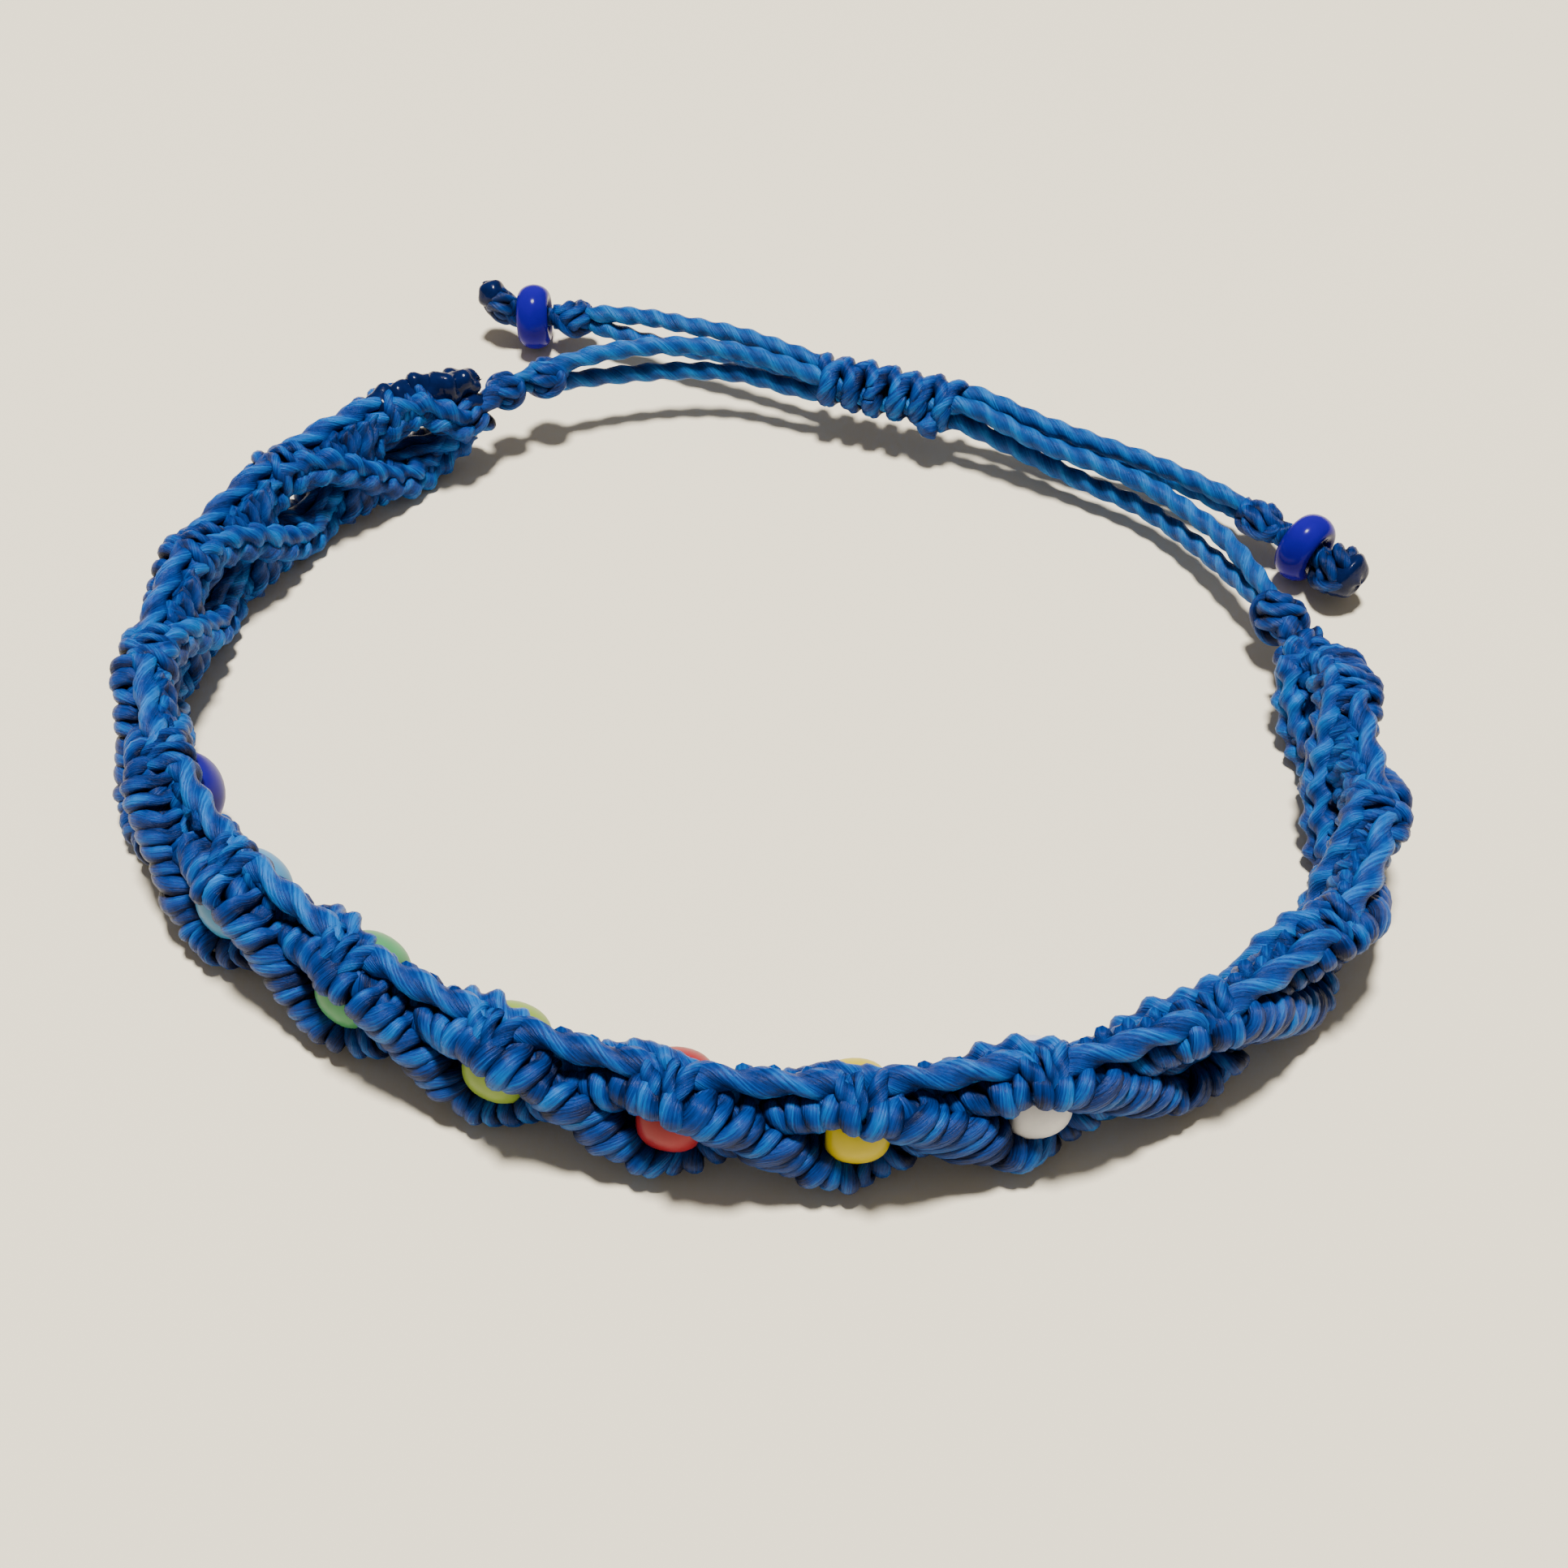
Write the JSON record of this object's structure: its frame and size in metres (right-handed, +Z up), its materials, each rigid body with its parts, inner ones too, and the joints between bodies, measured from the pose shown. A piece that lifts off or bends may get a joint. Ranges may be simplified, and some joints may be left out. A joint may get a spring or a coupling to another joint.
{
  "type": "macrame bead bracelet",
  "caption": "Knotted cord bracelet, a lozenge band with glass beads in its middle eyes, closed by a sliding knot with beaded tails.",
  "frame": {"origin": "middle of the band's box, on the surface that its lower rim stands on", "axes": "+Z up, the way a wrist goes through; -Y towards the beads at the front of the band; +X to the right, seen from the front"},
  "size_m": [0.0617, 0.0589, 0.0062],
  "materials": {
    "waxed_cord": "satin",
    "melted_cord": "gloss",
    "glass_cobalt": "satin",
    "glass_light_blue": "satin",
    "glass_green": "satin",
    "glass_lime": "satin",
    "glass_red": "satin",
    "glass_yellow": "satin",
    "glass_white": "satin",
    "glass_ultramarine": "gloss"
  },
  "bodies": {
    "root": {"macrame_band": "waxed_cord", "bead_cobalt": "glass_cobalt", "bead_light_blue": "glass_light_blue", "bead_green": "glass_green", "bead_lime": "glass_lime", "bead_red": "glass_red", "bead_yellow": "glass_yellow", "bead_white": "glass_white", "end_knot_left": "waxed_cord", "end_knot_right": "waxed_cord", "tail_cord_left_upper": "waxed_cord", "tail_cord_left_lower": "waxed_cord", "draw_cord_left_upper": "waxed_cord", "draw_cord_left_lower": "waxed_cord", "tail_cord_right_upper": "waxed_cord", "tail_cord_right_lower": "waxed_cord", "draw_cord_right_upper": "waxed_cord", "draw_cord_right_lower": "waxed_cord", "slide_knot": "waxed_cord", "tail_knot_left": "waxed_cord", "tail_bead_left": "glass_ultramarine", "tail_end_knot_left": "melted_cord", "tail_knot_right": "waxed_cord", "tail_bead_right": "glass_ultramarine", "tail_end_knot_right": "melted_cord"}
  },
  "joints": []
}
